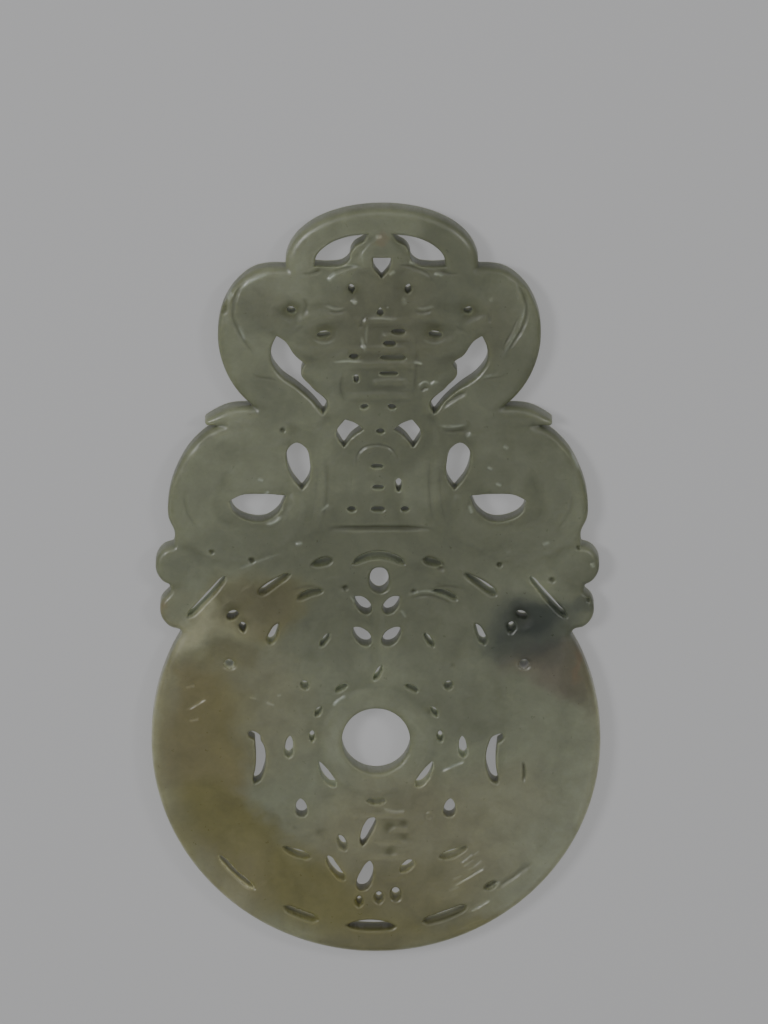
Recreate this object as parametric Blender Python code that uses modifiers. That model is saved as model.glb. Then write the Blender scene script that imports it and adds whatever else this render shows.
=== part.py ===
"""Openwork jade pendant: a pierced disc under a crest of two coiled dragons, carved from one slab.

It lies on its back. x is across it, y runs up it and z is its thickness. The sizes below are in
millimetres in the carver's frame, measured from the centre of the disc and from the back face.
"""

import math

import bmesh
import bpy

MM = 0.001

# The disc
DISC_R = 37.5
HOLE_R = 5.7
COLLAR_R = 9.4
RIM_INNER_R = 33.4
DISC_SIDES = 56
BOSS_SIDES = 12

# The crest
CREST_TOP = 93.6
ARCH_FOOT = 83.7
ARCH_OUTER = (16.0, CREST_TOP - ARCH_FOOT)
ARCH_INNER = (10.6, 5.1)
ARCH_SHIFT = 0.3
LEAN = 0.008  # the crest leans a little to the right as it rises

# Levels through the slab
THICK = 4.5
GROUND = 3.7
FIELD = 3.95
BACK_FIELD = 0.45
EDGE = 0.8
SLOPE = 0.9  # how far a low form's shoulder spreads
STEP = 0.06  # keeps the faces of neighbouring forms off one plane

# The openings
RIM_SLIT_R = 33.0
CUT_MARGIN = 1.0

JADE = (0.25, 0.265, 0.185, 1.0)
JADE_ROUGHNESS = 0.3

# Openings that come in mirrored pairs, as outlines of the right-hand one
OPENINGS = (
    ("loop_opening", [(10.9, 83.6), (10.6, 85.3), (8.6, 87.4), (5.6, 88.7), (2.1, 89.2), (2.8, 88.0),
                      (4.2, 87.1), (4.9, 86.0), (5.1, 84.9), (6.1, 83.9), (8.2, 83.5)]),
    ("side_opening", [(17.1, 71.4), (17.9, 69.4), (17.9, 67.0), (16.4, 64.6), (13.5, 62.3), (10.9, 59.9),
                      (9.2, 57.7), (8.6, 59.2), (11.2, 62.4), (13.0, 65.0), (12.3, 66.4), (14.0, 67.9),
                      (15.8, 70.5)]),
    ("small_opening", [(7.0, 54.5), (5.6, 56.7), (4.0, 56.1), (2.5, 55.0), (4.4, 53.6), (5.8, 51.7)]),
    ("almond", [(15.0, 51.6), (13.7, 52.6), (12.2, 51.8), (11.4, 49.2), (11.6, 46.0), (12.7, 44.3), (14.4, 46.6),
                (15.2, 49.2)]),
    ("crescent", [(15.3, 43.3), (19.4, 43.6), (23.0, 43.3), (24.7, 42.4), (24.0, 40.5), (21.6, 39.0),
                  (18.7, 38.9), (16.7, 40.3)]),
)

# Sawn and drilled slots in mirrored pairs: x, y, length, width, heading, bend, taper, fullness
PAIRED_SLOTS = (
    (4.7, 79.7, 1.9, 1.1, 80, 0, 0, 0.5),
    (14.7, 75.9, 1.7, 1.4, 20, 0, 0, 0.5),
    (9.3, 71.6, 2.5, 1.3, 170, 0, 0, 0.5),
    (28.4, 25.5, 9.6, 1.0, 131, -6, 0, 0.3),
    (17.3, 27.9, 6.2, 1.1, 145, 10, -0.4, 0.4),
    (9.3, 31.7, 3.2, 1.0, 164, 8, 0.2, 0.5),
    (2.4, 24.2, 3.9, 2.2, 52, -30, -0.2, 0.6),
    (2.5, 18.6, 4.1, 2.4, 50, -20, -0.2, 0.6),
    (17.3, 19.0, 4.0, 1.2, 112, 14, -0.3, 0.4),
    (8.7, 17.9, 2.8, 0.8, 122, 0, 0, 0.5),
    (11.3, 26.2, 4.3, 0.9, 160, 44, 0, 0.5),
    (24.1, 22.3, 2.2, 1.6, 150, 50, 0, 0.6),
    (22.4, 20.2, 1.9, 1.2, 80, 0, 0.4, 0.6),
    (24.6, 13.7, 1.5, 1.3, 30, 0, 0, 0.6),
    (12.0, 9.9, 1.5, 1.3, 60, 0, 0, 0.6),
    (5.9, 9.4, 2.4, 0.9, 150, 20, 0, 0.6),
    (9.7, 5.2, 2.0, 0.9, 118, 0, 0, 0.6),
    (10.7, 0.8, 2.1, 0.9, 92, 0, 0, 0.6),
    (14.5, -1.0, 4.0, 1.3, 94, 0, -0.3, 0.4),
    (19.2, -3.2, 9.0, 1.6, 90, -56, 0, 0.35),
    (8.3, -6.0, 5.4, 1.5, 58, 26, -0.4, 0.6),
    (12.4, -11.8, 3.4, 1.9, 84, 0, -0.3, 0.5),
    (13.1, -19.8, 5.0, 1.2, 22, 16, -0.3, 0.6),
)

# Slots on or near the middle line
SINGLE_SLOTS = (
    (0.2, 33.0, 9.2, 1.1, 0, -84, 0, 0.4),
    (0.1, -10.7, 3.2, 1.0, 0, 20, 0, 0.5),
    (0.2, 12.0, 3.0, 0.8, 64, 0, 0, 0.5),
    (0.1, 75.7, 1.6, 1.2, 90, 0, -0.7, 0.6),
    (0.3, 54.7, 1.7, 0.9, 0, 0, 0, 0.4),
    (-0.2, 48.5, 2.4, 0.9, 0, 0, 0, 0.4),
    (0.0, 44.8, 2.2, 0.9, 0, 0, 0, 0.4),
    (-4.4, 41.0, 1.6, 0.9, 0, 0, 0, 0.4),
    (0.0, 41.0, 2.6, 0.9, 0, 0, 0, 0.4),
    (4.5, 41.0, 1.6, 0.9, 0, 0, 0, 0.4),
    (3.4, 45.2, 2.6, 1.0, 90, 0, 0.2, 0.4),
    (3.1, 72.2, 2.6, 0.9, 0, 0, 0, 0.4),
    (1.7, 70.1, 2.4, 0.9, 0, 0, 0, 0.4),
    (2.3, 67.6, 4.6, 0.9, 0, 0, 0, 0.3),
    (-4.2, 67.8, 1.9, 0.9, 0, 0, 0, 0.4),
    (1.6, 64.8, 3.6, 0.8, 0, 0, 0, 0.3),
    (-3.8, 63.9, 0.9, 1.6, 0, 0, 0, 0.4),
    (-2.4, 59.0, 1.7, 0.9, 10, 0, 0, 0.4),
    (2.2, 59.0, 1.7, 0.9, -10, 0, 0, 0.4),
    (-5.5, -18.0, 2.8, 1.2, 112, 0, 0, 0.5),
    (-1.4, -16.0, 5.6, 1.7, 68, -24, 0.3, 0.5),
    (-6.7, -22.6, 5.2, 1.4, 124, -30, 0, 0.4),
    (-1.5, -23.9, 5.6, 2.3, 72, 20, -0.3, 0.5),
    (0.7, -27.7, 2.0, 1.3, 90, 0, 0, 0.5),
    (3.5, -27.1, 2.2, 1.5, 90, 0, 0, 0.5),
    (5.3, -22.2, 2.9, 1.5, 42, 0, 0.2, 0.5),
    (-2.6, -28.4, 1.8, 1.0, 90, 0, 0, 0.5),
    (-20.3, 0.9, 2.4, 1.3, 150, 0, 0, 0.5),
    (20.3, 0.4, 2.2, 1.3, 40, 0, 0, 0.5),
    (19.4, -25.6, 2.2, 0.8, 30, 0, 0, 0.5),
)

MIDDLE_OPENINGS = (
    ("spade", [(-1.2, 85.1), (1.9, 85.1), (1.6, 83.2), (0.3, 81.4), (-1.0, 83.2)]),
    ("eye", [(-0.6, 30.4), (1.2, 30.4), (1.9, 28.6), (1.5, 26.9), (0.3, 26.2), (-0.9, 26.9), (-1.3, 28.6)]),
)

# Slits that part the rim from the field: angle, length, width
RIM_SLITS = (
    (-135, 8.4, 0.7),
    (-112, 6.0, 1.1),
    (-91, 8.2, 1.1),
    (-69, 7.6, 1.2),
)

# Rows of plain strokes: y, x of the middle, half length
PANEL_BARS = (
    (73.9, 0.6, 4.6),
    (71.2, 2.9, 2.4),
    (69.0, -0.2, 5.0),
    (66.2, 0.4, 5.4),
    (63.2, 1.9, 3.0),
    (60.8, 0.2, 5.6),
)
LOWER_BARS = (
    (-13.4, 0.6, 4.6),
    (-15.9, 3.9, 1.7),
    (-18.2, 2.6, 2.8),
    (-20.7, 1.4, 4.0),
    (-24.7, 3.0, 1.9),
)

MIDDLE_Y = (CREST_TOP - DISC_R) / 2


def placed(x, y, z):
    """A point of the carver's frame in the model's: leaning, centred on the bounding box, in metres."""
    return ((x + LEAN * y) * MM, (y - MIDDLE_Y) * MM, z * MM)


def mirrored(points, side):
    return [(point[0] * side, *point[1:]) for point in points]


def smooth(points, steps):
    """A Catmull-Rom curve through the points, with this many steps from each one to the next."""
    ends = [points[0], *points, points[-1]]
    found = []
    for a, b, c, d in zip(ends, ends[1:], ends[2:], ends[3:]):
        for i in range(steps):
            t = i / steps
            found.append(tuple(
                0.5 * (2 * q + (r - p) * t + (2 * p - 5 * q + 4 * r - s) * t**2
                       + (3 * q - p - 3 * r + s) * t**3)
                for p, q, r, s in zip(a, b, c, d)
            ))
    return [*found, tuple(points[-1])]


def normals_of(points):
    """Unit vectors to the left of a path, one at each of its points."""
    found = []
    for before, after in zip([points[0], *points], [*points[1:], points[-1]]):
        dx, dy = after[0] - before[0], after[1] - before[1]
        length = math.hypot(dx, dy)
        found.append((-dy / length, dx / length))
    return found


def linked(name, data, collection):
    obj = bpy.data.objects.new(name, data)
    collection.objects.link(obj)
    return obj


def new_collection(name):
    collection = bpy.data.collections.new(name)
    bpy.context.scene.collection.children.link(collection)
    return collection


def helper(obj):
    """Marks a form that a Boolean joins to the slab, or a cutter."""
    obj.hide_render = True
    obj.display_type = "WIRE"
    return obj


def mesh_object(name, bm, collection):
    bmesh.ops.recalc_face_normals(bm, faces=bm.faces)
    mesh = bpy.data.meshes.new(name)
    bm.to_mesh(mesh)
    bm.free()
    return linked(name, mesh, collection)


def loft(name, path, section, collection):
    """A band along the path of (x, y, half width), with section giving each ring of (across, z)."""
    bm = bmesh.new()
    rings = []
    for (x, y, half), (nx, ny) in zip(path, normals_of(path)):
        rings.append([bm.verts.new(placed(x + nx * across, y + ny * across, z))
                      for across, z in section(half)])
    for ring, following in zip(rings, rings[1:]):
        for i in range(len(ring)):
            j = (i + 1) % len(ring)
            bm.faces.new((ring[i], ring[j], following[j], following[i]))
    bm.faces.new(rings[0])
    bm.faces.new(rings[-1])
    return helper(mesh_object(name, bm, collection))


def through_section(low, top):
    """The section of a form that shows on both faces: all its long edges are worn round."""
    def section(half):
        flat = 0.66 * half
        return [(-half, low + EDGE), (-flat, low), (flat, low), (half, low + EDGE),
                (half, top - EDGE), (flat, top), (-flat, top), (-half, top - EDGE)]
    return section


def relief_section(top, ground):
    """The section of a form raised on the front only, with a flat crown and sloping shoulders."""
    def section(half):
        crown = max(half - SLOPE, 0.3 * half)
        return [(-half, 1.5), (half, 1.5), (half, ground - 0.15), (crown, top),
                (-crown, top), (-half, ground - 0.15)]
    return section


def prism(name, outline, low, high, collection):
    """A flat outline in the carver's frame, extruded between two levels, as a mesh."""
    curve = bpy.data.curves.new(name, "CURVE")
    curve.dimensions = "2D"
    curve.fill_mode = "BOTH"
    curve.extrude = (high - low) / 2 * MM
    spline = curve.splines.new("POLY")
    spline.points.add(len(outline) - 1)
    for point, (x, y) in zip(spline.points, outline):
        point.co = (*placed(x, y, 0)[:2], 0, 1)
    spline.use_cyclic_u = True
    guide = linked(name + "_outline", curve, collection)
    guide.location.z = (low + high) / 2 * MM
    bpy.context.view_layer.update()
    mesh = bpy.data.meshes.new_from_object(guide.evaluated_get(bpy.context.evaluated_depsgraph_get()))
    mesh.transform(guide.matrix_world)
    bpy.data.objects.remove(guide)
    bm = bmesh.new()
    bm.from_mesh(mesh)
    bmesh.ops.remove_doubles(bm, verts=bm.verts, dist=0.00001)
    return helper(mesh_object(name, bm, collection))


def slot_outline(x, y, length, width, heading, bend=0.0, taper=0.0, full=0.4):
    """The outline of an opening sawn along an arc: heading and bend in degrees, taper from -1 to 1
    moving its width towards an end, and full from 0, square ended, to 1, pointed."""
    stations = 6 if length > 6 else 5 if length > 4 else 4 if length > 2 else 3
    turn = math.radians(bend)
    left, right = [], []
    px, py = 0.0, 0.0
    spine = []
    share = 0.0
    for i in range(stations + 1):
        moved = (1 - math.cos(math.pi * i / stations)) / 2 - share
        angle = math.radians(heading) + turn * (share + moved / 2 - 0.5)
        share += moved
        px += math.cos(angle) * length * moved
        py += math.sin(angle) * length * moved
        spine.append((px, py, math.radians(heading) + turn * (share - 0.5), share))
    before, after = spine[stations // 2], spine[(stations + 1) // 2]
    middle_x, middle_y = (before[0] + after[0]) / 2, (before[1] + after[1]) / 2
    for sx, sy, angle, share in spine:
        half = width / 2 * (4 * share * (1 - share)) ** full * (1 + taper * (2 * share - 1))
        cx, cy = x + sx - middle_x, y + sy - middle_y
        nx, ny = -math.sin(angle), math.cos(angle)
        left.append((cx + nx * half, cy + ny * half))
        right.append((cx - nx * half, cy - ny * half))
    return [*left, *right[-2:0:-1]]


def dome(name, x, y, radii, low, high, crown_share, collection):
    """A round boss with a worn shoulder, standing from one level to another."""
    bm = bmesh.new()
    rings = []
    for share, z in ((1.0, low), (1.0, high - 0.8 * EDGE), (crown_share, high - 0.1)):
        rings.append([
            bm.verts.new(placed(x + radii[0] * share * math.cos(math.tau * i / BOSS_SIDES),
                                y + radii[1] * share * math.sin(math.tau * i / BOSS_SIDES), z))
            for i in range(BOSS_SIDES)
        ])
    crown = bm.verts.new(placed(x, y, high))
    for i in range(BOSS_SIDES):
        j = (i + 1) % BOSS_SIDES
        for ring, above in zip(rings, rings[1:]):
            bm.faces.new((ring[i], ring[j], above[j], above[i]))
        bm.faces.new((rings[-1][i], rings[-1][j], crown))
    bm.faces.new(rings[0])
    return helper(mesh_object(name, bm, collection))


def jade_material():
    material = bpy.data.materials.new("jade")
    material.use_nodes = True
    material.diffuse_color = JADE
    shader = material.node_tree.nodes["Principled BSDF"]
    shader.inputs["Base Color"].default_value = JADE
    shader.inputs["Roughness"].default_value = JADE_ROUGHNESS
    shader.inputs["Metallic"].default_value = 0.0
    return material


def turned_disc(collection):
    """The disc: a plain rim, a sunk field and a raised collar round the hole, on both faces."""
    front = [
        (HOLE_R, THICK - EDGE), (HOLE_R + EDGE, THICK), (COLLAR_R - 0.6 * EDGE, THICK), (COLLAR_R, FIELD),
        (RIM_INNER_R, FIELD), (RIM_INNER_R + 0.6 * EDGE, THICK), (DISC_R - EDGE, THICK),
        (DISC_R, THICK - 1.2 * EDGE),
    ]
    back = [(r, BACK_FIELD if z == FIELD else THICK - z) for r, z in reversed(front)]
    points = [*front, *back]
    mesh = bpy.data.meshes.new("disc_profile")
    mesh.from_pydata([(r * MM, 0, z * MM) for r, z in points],
                     [(i, (i + 1) % len(points)) for i in range(len(points))], [])
    disc = linked("jade_pendant", mesh, collection)
    disc.location.y = -MIDDLE_Y * MM
    screw = disc.modifiers.new("turn", "SCREW")
    screw.steps = screw.render_steps = DISC_SIDES
    screw.use_merge_vertices = True
    screw.merge_threshold = 0.00001
    return disc


def ellipse_path(centre_y, outer, inner, stations):
    """A half ring from right to left between two half ellipses."""
    path = []
    for i in range(stations + 1):
        angle = math.pi * i / stations
        far = (outer[0] * math.cos(angle), outer[1] * math.sin(angle))
        near = (inner[0] * math.cos(angle), inner[1] * math.sin(angle))
        half = math.dist(far, near) / 2
        path.append(((far[0] + near[0]) / 2 + ARCH_SHIFT, (far[1] + near[1]) / 2 + centre_y, half))
    return path


def add_ground(raised):
    """The sunk ground of the crest, ending inside the disc's rim."""
    side = [(0, ARCH_FOOT + 6), (7, ARCH_FOOT + 4.5), (12.5, 83.2), (18, 81.3), (23.2, 78), (25.6, 71),
            (23.6, 63.6), (19.6, 58.9), (23, 56.9), (28.2, 54.4), (31.6, 49.2), (33.8, 42.5), (33.9, 34.4),
            (35.4, 31.6), (34.4, 26.4), (34.8, 22.6), (32.2, 18.6)]
    under = []
    for i in range(1, 7):
        angle = math.radians(31 + i * 59 / 7)
        under.append((35.4 * math.cos(angle), 35.4 * math.sin(angle)))
    half = [*side, *under]
    outline = [*half, (0, 35.4), *mirrored(half[:0:-1], -1)]
    prism("ground", outline, BACK_FIELD, GROUND, raised)


def add_crest(raised):
    """The loop, the coiled bodies and the spiral lobes, which show on both faces."""
    arch = ellipse_path(ARCH_FOOT, ARCH_OUTER, ARCH_INNER, 14)
    loft("loop", [(arch[0][0], 82.0, 2.3), *arch, (arch[-1][0], 82.0, 2.3)],
         through_section(0, THICK), raised)
    coil = [(13.4, 80.6, 2.4), (18.8, 79.3, 3.9), (21.5, 75.4, 4.6), (21.9, 70.4, 4.9),
            (20.4, 65.4, 4.7), (17.5, 61.6, 4.2), (13.6, 58.6, 3.4), (9.6, 56.2, 2.0)]
    lobe = [(15.0, 54.9, 2.0), (22.9, 53.3, 3.3), (27.9, 49.7, 3.9), (30.9, 42.9, 3.9),
            (29.9, 37.4, 4.0), (24.8, 35.0, 3.5), (18.4, 35.4, 2.9), (14.0, 38.9, 1.9), (13.7, 43.4, 0.9)]
    fin = [(15.0, 56.6, 1.0), (20.0, 57.2, 1.5), (24.8, 57.1, 1.4), (28.9, 55.9, 0.4)]
    for side, name in ((-1, "left"), (1, "right")):
        loft(f"coil_{name}", smooth(mirrored(coil, side), 2), through_section(STEP, THICK - STEP), raised)
        loft(f"lobe_{name}", smooth(mirrored(lobe, side), 2),
             through_section(2 * STEP, THICK - 2 * STEP), raised)
        loft(f"fin_{name}", smooth(mirrored(fin, side), 2),
             through_section(3 * STEP, THICK + STEP), raised)
        dome(f"boss_{name}", 20.4 * side, 49.0, (6.6, 6.2), BACK_FIELD - 4 * STEP, THICK - 3 * STEP, 0.7,
             raised)
        for i, (x, y, r) in enumerate(((33.4, 30.9, 3.6), (32.6, 23.2, 3.6))):
            dome(f"scallop_{name}_{i}", x * side, y, (r, r), (4 + i) * STEP, THICK - (4 + i) * STEP, 0.8,
                 raised)


def add_upper_ornament(raised):
    """The trefoil and the two heads that meet under it, with the panels between the coiled bodies."""
    def relief(level):
        return relief_section(THICK - level * STEP, GROUND)

    loft("stem", [(ARCH_SHIFT, 90.2, 1.8), (ARCH_SHIFT, 88.0, 2.1), (ARCH_SHIFT, 85.6, 4.0),
                  (ARCH_SHIFT, 83.0, 5.2)], relief(3), raised)
    snout = [(17.5, 78.4, 3.4), (13.2, 79.6, 3.0), (9.4, 80.2, 2.9), (6.4, 80.0, 2.4)]
    jaw = [(18.4, 73.6, 2.2), (15.2, 72.6, 1.8), (12.2, 69.4, 1.9), (8.8, 68.7, 1.6), (5.6, 69.4, 1.0)]
    cheek = [(13.2, 73.6, 1.6), (9.4, 74.8, 1.4), (5.2, 74.6, 1.0)]
    leaf = [(12.0, 65.4, 0.9), (10.1, 64.3, 1.5), (8.7, 61.4, 1.5), (8.0, 57.6, 1.0)]
    strand = [(8.4, 56.4, 0.9), (9.7, 50.6, 1.3), (9.5, 44.0, 1.4), (10.6, 39.4, 1.5), (14.0, 35.8, 1.4)]
    for side, name in ((-1, "left"), (1, "right")):
        forms = (("snout", snout, 5), ("jaw", jaw, 4), ("cheek", cheek, 5), ("leaf", leaf, 6),
                 ("strand", strand, 7))
        for form, path, level in forms:
            loft(f"{form}_{name}", smooth(mirrored(path, side), 2), relief(level), raised)
        dome(f"nose_{name}", 6.2 * side, 80.0, (3.5, 3.7), 1.5, THICK - STEP, 0.68, raised)
    niche = [(-4.3, 38.6, 0.9), (-4.3, 46.5, 0.9), (-3.3, 50.4, 0.9), (-1.3, 52.2, 0.9),
             (1.3, 52.2, 0.9), (3.3, 50.4, 0.9), (4.3, 46.5, 0.9), (4.3, 38.6, 0.9)]
    loft("niche", niche, relief(8), raised)
    for row, (y, x, half) in enumerate(PANEL_BARS):
        loft(f"panel_bar_{row}", [(x - half, y, 0.8), (x + half, y, 0.8)], relief(2 + row % 3), raised)


def add_disc_ornament(raised):
    """Two dragons coiled face to face on the disc, the bud between them and the strokes below."""
    def relief(level):
        return relief_section(THICK - level * STEP, FIELD)

    body = [(6.6, 24.2, 1.8), (11.4, 23.8, 2.6), (16.6, 23.4, 3.8), (22.6, 18.4, 5.6), (26.8, 10.4, 6.5),
            (28.2, 0.0, 7.2), (26.6, -9.4, 6.8), (21.6, -17.2, 5.4), (15.4, -22.6, 3.2), (9.4, -25.6, 1.2)]
    foreleg = [(21.5, 12.6, 2.0), (17.0, 14.4, 2.1), (13.2, 13.6, 1.7), (9.4, 14.0, 1.0)]
    elbow = [(22.5, 3.6, 1.9), (17.4, 5.4, 2.0), (13.6, 4.6, 1.6), (12.4, 1.6, 1.0)]
    haunch = [(21.0, -10.4, 2.2), (16.4, -9.0, 2.2), (12.8, -7.2, 1.7), (12.4, -3.8, 1.0)]
    tail = [(18.0, -16.4, 2.0), (13.6, -16.2, 1.9), (10.4, -14.4, 1.4), (9.0, -11.4, 0.9)]
    leaf = [(1.0, 19.6, 0.9), (3.9, 21.2, 1.2), (5.9, 19.2, 1.2), (5.6, 16.2, 0.9)]
    brow = [(5.2, 29.7, 1.1), (9.0, 29.3, 1.4), (13.0, 28.2, 1.1)]
    for side, name in ((-1, "left"), (1, "right")):
        forms = (("body", body, 3), ("foreleg", foreleg, 4), ("elbow", elbow, 5), ("haunch", haunch, 4),
                 ("tail", tail, 5), ("bud_leaf", leaf, 4), ("brow", brow, 5))
        for form, path, level in forms:
            loft(f"{form}_{name}", smooth(mirrored(path, side), 2), relief(level), raised)
    loft("bud_stem", [(0.3, 11.0, 0.9), (0.3, 16.0, 0.9), (0.3, 21.0, 0.9), (0.3, 25.4, 1.3)],
         relief(2), raised)
    ring = [(0.3 + 3.6 * math.cos(a), 29.0 + 3.2 * math.sin(a), 1.0)
            for a in (math.radians(210 - 30 * i) for i in range(9))]
    loft("bud_ring", ring, relief(3), raised)
    for row, (y, x, half) in enumerate(LOWER_BARS):
        loft(f"lower_bar_{row}", [(x - half, y, 0.8), (x + half, y, 0.8)], relief(2 + row % 3), raised)


def add_openings(openings):
    """Every opening is drilled and sawn square through the slab."""
    def cut(name, outline):
        prism(name, outline, -CUT_MARGIN, THICK + CUT_MARGIN, openings)

    for side, name in ((-1, "left"), (1, "right")):
        for form, outline in OPENINGS:
            cut(f"{form}_{name}", mirrored(outline, side))
        for i, (x, y, length, width, heading, bend, taper, full) in enumerate(PAIRED_SLOTS):
            found = slot_outline(x, y, length, width, heading, bend, taper, full)
            cut(f"slot_{i}_{name}", mirrored(found, side))
    for i, (x, y, length, width, heading, bend, taper, full) in enumerate(SINGLE_SLOTS):
        cut(f"middle_slot_{i}", slot_outline(x, y, length, width, heading, bend, taper, full))
    for form, outline in MIDDLE_OPENINGS:
        cut(form, outline)
    for i, (angle, length, width) in enumerate(RIM_SLITS):
        turn = math.radians(angle)
        bend = math.degrees(length / RIM_SLIT_R)
        found = slot_outline(RIM_SLIT_R * math.cos(turn), RIM_SLIT_R * math.sin(turn), length, width,
                             angle + 90, bend, 0, 0.3)
        cut(f"rim_slit_{i}", found)


def build():
    for obj in list(bpy.data.objects):
        bpy.data.objects.remove(obj, do_unlink=True)
    pieces = new_collection("Jade pendant")
    raised = new_collection("Raised")
    openings = new_collection("Openings")

    pendant = turned_disc(pieces)
    add_ground(raised)
    add_crest(raised)
    add_upper_ornament(raised)
    add_disc_ornament(raised)
    add_openings(openings)

    for name, operation, collection in (("join", "UNION", raised), ("pierce", "DIFFERENCE", openings)):
        modifier = pendant.modifiers.new(name, "BOOLEAN")
        modifier.operation = operation
        modifier.operand_type = "COLLECTION"
        modifier.collection = collection
        modifier.solver = "EXACT"
    flats = pendant.modifiers.new("flats", "DECIMATE")
    flats.decimate_type = "DISSOLVE"
    flats.angle_limit = math.radians(0.6)

    pendant.data.materials.append(jade_material())


build()
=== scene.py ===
"""The jade pendant as it looks: its worn relief and fine carving, the stone, the floor, the light
and the camera.

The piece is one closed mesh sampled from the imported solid. Carving is placed in the carver's
frame, as in the part's source: millimetres from the centre of the disc, across and up the pendant.
"""

import math

import bmesh
import bpy
import numpy as np
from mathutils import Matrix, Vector
from mathutils.bvhtree import BVHTree


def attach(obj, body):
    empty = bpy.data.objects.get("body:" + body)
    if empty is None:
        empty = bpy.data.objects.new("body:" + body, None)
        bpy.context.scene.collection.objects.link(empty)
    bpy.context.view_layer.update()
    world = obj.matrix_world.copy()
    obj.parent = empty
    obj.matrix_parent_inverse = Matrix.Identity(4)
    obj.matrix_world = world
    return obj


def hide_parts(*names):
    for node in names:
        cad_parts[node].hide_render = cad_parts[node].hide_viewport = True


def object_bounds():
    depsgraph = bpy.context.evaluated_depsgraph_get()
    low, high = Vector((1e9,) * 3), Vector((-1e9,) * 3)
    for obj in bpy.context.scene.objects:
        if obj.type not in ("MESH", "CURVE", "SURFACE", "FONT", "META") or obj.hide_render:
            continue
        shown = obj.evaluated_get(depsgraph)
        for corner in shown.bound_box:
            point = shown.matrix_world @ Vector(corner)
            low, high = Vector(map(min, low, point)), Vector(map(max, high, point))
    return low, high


MM = 0.001
NODE = "jade_pendant"

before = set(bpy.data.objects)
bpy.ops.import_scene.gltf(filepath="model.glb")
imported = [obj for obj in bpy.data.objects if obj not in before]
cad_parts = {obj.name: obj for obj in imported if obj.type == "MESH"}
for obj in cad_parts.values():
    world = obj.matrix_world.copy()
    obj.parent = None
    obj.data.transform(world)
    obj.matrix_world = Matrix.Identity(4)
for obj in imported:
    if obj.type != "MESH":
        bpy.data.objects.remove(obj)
cad_box = [list(corner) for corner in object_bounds()]
LOW, HIGH = (np.array(corner) / MM for corner in cad_box)
DISC_R = (HIGH[0] - LOW[0]) / 2
CENTRE_Y = LOW[1] + DISC_R
THICK = 4.5
# How far the carver's frame leans: across for each millimetre up
LEAN = 0.008

# Sampling: the grid, the level of the outlines, and how smooth curves are drawn through them
MERGED = 0.0005
PITCH = 0.16
MARGIN = 3
MIDDLE_Z = 2.2
RAY_Z = 50
FAR = 1e9
LEAST = 1e-9
TRIANGLES = 190000
OUTLINE_STEP = 0.3
CURVE_STEPS = 6
SHORTEST = 0.08
STRAIGHT = math.radians(1.5)
OUTER_CORNER = math.radians(42)
INNER_CORNER = math.radians(75)
OUTER_BLUR = 0.22
INNER_BLUR = 0.1

# Kinds of opening: dark ones are the crest's drilled holes and the openings listed here by their
# middles, whose back edges are hardly worn, so that less light comes through
KINDS = range(5)
LARGE, SMALLER, SLOT, DRILLED, DARK = KINDS
LARGE_OPENING = 10.5
DRILLED_HOLE = 2.6
SLOT_WIDTH = 1.1
DARK_REACH = 1
DARK_OPENINGS = ((24.3, 22.2), (-23.9, 22.2), (-22.2, 20.2), (-0.8, -32.7))

# Wear
RELIEF_BLUR = 0.42
BACK_BLUR = 0.6
# How far in and how deep each edge is worn: the outer edge, then the openings of each kind
FRONT_WEAR = ((1.8, 0.95), (0.9, 0.6), (0.5, 0.4), (0.75, 0.55), (0.9, 0.7), (0.9, 0.4))
BACK_WEAR = ((1.0, 0.5), (1.0, 0.5), (1.0, 1.0), (0.8, 0.7), (0.8, 0.5), (0.2, 0.05))
# Where slots and holes begin in a list that has the outer edge first
FINE = 1 + SLOT
# Grime and painted shade lie below the surface averaged over this reach, and are full at this
# depth
RECESS_REACH = 1.8
RECESS_FULL = 0.35
# The height of a cut or a ridge that takes the full painted highlight
PAINTED_GLINT_HEIGHT = 0.16


def added(name, data):
    """A new object in the scene."""
    obj = bpy.data.objects.new(name, data)
    bpy.context.scene.collection.objects.link(obj)
    return obj


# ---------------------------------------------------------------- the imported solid

def solid_bmesh():
    bm = bmesh.new()
    bm.from_mesh(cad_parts[NODE].data)
    bmesh.ops.scale(bm, vec=Vector((1, 1, 1)) / MM, verts=bm.verts)
    bmesh.ops.remove_doubles(bm, verts=bm.verts, dist=MERGED)
    return bm


def walked(edges):
    """The closed loops of a cross-section, each as its points in order."""
    left = dict.fromkeys(edges)
    loops = []
    while left:
        edge = next(iter(left))
        del left[edge]
        start, vert = edge.verts
        loop = [start.co.xy.copy(), vert.co.xy.copy()]
        while vert is not start:
            edge = next(other for other in vert.link_edges if other in left)
            del left[edge]
            vert = edge.other_vert(vert)
            loop.append(vert.co.xy.copy())
        loops.append(np.array(loop[:-1]))
    return loops


def turning(points):
    """How far a closed loop turns at each of its points."""
    ahead = np.roll(points, -1, 0) - points
    behind = points - np.roll(points, 1, 0)
    cross = behind[:, 0] * ahead[:, 1] - behind[:, 1] * ahead[:, 0]
    return np.abs(np.arctan2(cross, (behind * ahead).sum(1)))


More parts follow.
